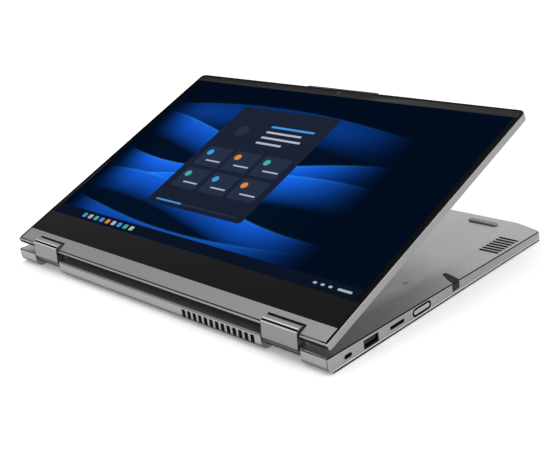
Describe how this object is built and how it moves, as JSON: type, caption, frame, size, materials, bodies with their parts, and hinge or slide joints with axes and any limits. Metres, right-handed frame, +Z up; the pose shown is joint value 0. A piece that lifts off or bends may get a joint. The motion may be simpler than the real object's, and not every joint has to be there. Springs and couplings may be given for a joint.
{
  "type": "laptop computer",
  "caption": "Convertible laptop standing on its keyboard with the screen folded round on two double-axis hinges, with side ports, vents, feet and a stylus in a side garage.",
  "frame": {"origin": "on the surface it stands on, under the middle of its overall box", "axes": "+X along the hinge edge towards the side with the power button, +Y from the hinge edge to the free edge, +Z up"},
  "size_m": [0.3194, 0.2135, 0.0944],
  "materials": {
    "case_metal": "satin bead-blasted grey",
    "cover_metal": "satin grey",
    "lid_metal": "satin bead-blasted grey",
    "rail_metal": "satin grey",
    "cap_metal": "satin grey",
    "steel": "plain sheet and turned steel",
    "copper": "copper tone",
    "fin_metal": "bare sheet",
    "board": "glass-fibre circuit board",
    "chip": "dark moulded",
    "dark_plastic": "dark moulded",
    "key_plastic": "fine matt",
    "pad_surface": "smooth matt glass sheet",
    "foot_rubber": "matt",
    "seal_rubber": "matt",
    "screen_glass": "gloss, black border, dark blue picture",
    "screen_panel": "inner display module",
    "stylus_plastic": "dark grey satin",
    "nib_plastic": "hard nib",
    "button_metal": "finely ribbed",
    "shutter_plastic": "dark satin",
    "lamp": "white lens"
  },
  "bodies": {
    "base": {"audio_jack": "dark_plastic", "battery_pack": "dark_plastic", "bottom_cover": "cover_metal", "card_reader": "dark_plastic", "cover_screws": "steel", "deck_frame": "case_metal", "fan_housing": "dark_plastic", "front_feet": "foot_rubber", "hdmi_port": "steel", "heat_pipe": "copper", "heat_sink_fins": "fin_metal", "hinge_base_bracket_left": "steel", "hinge_base_bracket_right": "steel", "hinge_base_shaft_left": "steel", "hinge_base_shaft_right": "steel", "keyboard_tray": "steel", "lock_slot_plate": "steel", "main_board": "board", "processor": "chip", "rear_foot": "foot_rubber", "side_board_left": "board", "side_board_right": "board", "speaker_left": "dark_plastic", "speaker_right": "dark_plastic", "status_led": "lamp", "storage_card": "board", "stylus_garage": "stylus_plastic", "touchpad_bracket": "steel", "usb_a_port": "steel", "usb_c_ports": "steel", "wireless_card": "board"},
    "hinge_links": {"hinge_cap_left": "cap_metal", "hinge_cap_right": "cap_metal"},
    "lid": {"lid_cover": "lid_metal", "display_glass": "screen_glass", "display_panel": "screen_panel", "hinge_rail": "rail_metal", "display_gasket": "seal_rubber", "camera_module": "chip", "hinge_lid_bracket_left": "steel", "hinge_lid_bracket_right": "steel", "hinge_lid_shaft_left": "steel", "hinge_lid_shaft_right": "steel"},
    "function_keys": {"function_keys": "key_plastic"},
    "number_keys": {"number_keys": "key_plastic"},
    "upper_letter_keys": {"upper_letter_keys": "key_plastic"},
    "home_keys": {"home_keys": "key_plastic"},
    "lower_letter_keys": {"lower_letter_keys": "key_plastic"},
    "modifier_keys": {"modifier_keys": "key_plastic"},
    "space_bar": {"space_bar": "key_plastic"},
    "arrow_keys": {"arrow_keys": "key_plastic"},
    "camera_shutter": {"camera_shutter": "shutter_plastic"},
    "power_button": {"power_button": "button_metal"},
    "touchpad": {"touchpad": "pad_surface"},
    "stylus": {"stylus_body": "stylus_plastic", "stylus_nib": "nib_plastic", "stylus_tail": "stylus_plastic"},
    "stylus_button": {"stylus_button": "stylus_plastic"},
    "fan_rotor": {"fan_rotor": "dark_plastic"}
  },
  "joints": [
    {"name": "hinge_link", "type": "hinge", "parent": "base", "child": "hinge_links", "pos_m": [0, -0.10305, 0.0071], "axis": [-1, 0, 0], "range_deg": [-169.85, 10.15]},
    {"name": "lid_hinge", "type": "hinge", "parent": "hinge_links", "child": "lid", "pos_m": [0, -0.10189, 0.01804], "axis": [-1, 0, 0], "range_deg": [-169.85, 10.15]},
    {"name": "camera_shutter_slide", "type": "slide", "parent": "lid", "child": "camera_shutter", "axis": [1, 0, 0], "range_m": [0, 0.005]},
    {"name": "power_button_press", "type": "slide", "parent": "base", "child": "power_button", "axis": [-1, 0, 0], "range_m": [0, 0.0004], "stiffness_N_per_m": 2500},
    {"name": "touchpad_press", "type": "slide", "parent": "base", "child": "touchpad", "axis": [0, 0, 1], "range_m": [0, 0.0003], "stiffness_N_per_m": 6000},
    {"name": "stylus_slide", "type": "slide", "parent": "base", "child": "stylus", "axis": [1, 0, 0], "range_m": [0, 0.125]},
    {"name": "stylus_button_press", "type": "slide", "parent": "stylus", "child": "stylus_button", "axis": [0, 0, -1], "range_m": [0, 0.0002], "stiffness_N_per_m": 2000},
    {"name": "fan_spin", "type": "hinge", "parent": "base", "child": "fan_rotor", "pos_m": [0.0671, -0.0636, 0.006], "axis": [0, 0, 1], "continuous": true},
    {"name": "function_keys_press", "type": "slide", "parent": "base", "child": "function_keys", "axis": [0, 0, 1], "range_m": [0, 0.0011], "stiffness_N_per_m": 600},
    {"name": "number_keys_press", "type": "slide", "parent": "base", "child": "number_keys", "axis": [0, 0, 1], "range_m": [0, 0.0011], "stiffness_N_per_m": 600},
    {"name": "upper_letter_keys_press", "type": "slide", "parent": "base", "child": "upper_letter_keys", "axis": [0, 0, 1], "range_m": [0, 0.0011], "stiffness_N_per_m": 600},
    {"name": "home_keys_press", "type": "slide", "parent": "base", "child": "home_keys", "axis": [0, 0, 1], "range_m": [0, 0.0011], "stiffness_N_per_m": 600},
    {"name": "lower_letter_keys_press", "type": "slide", "parent": "base", "child": "lower_letter_keys", "axis": [0, 0, 1], "range_m": [0, 0.0011], "stiffness_N_per_m": 600},
    {"name": "modifier_keys_press", "type": "slide", "parent": "base", "child": "modifier_keys", "axis": [0, 0, 1], "range_m": [0, 0.0011], "stiffness_N_per_m": 600},
    {"name": "space_bar_press", "type": "slide", "parent": "base", "child": "space_bar", "axis": [0, 0, 1], "range_m": [0, 0.0011], "stiffness_N_per_m": 600},
    {"name": "arrow_keys_press", "type": "slide", "parent": "base", "child": "arrow_keys", "axis": [0, 0, 1], "range_m": [0, 0.0011], "stiffness_N_per_m": 600}
  ],
  "couplings": [
    {"joint": "lid_hinge", "follows": "hinge_link", "ratio": 1}
  ]
}
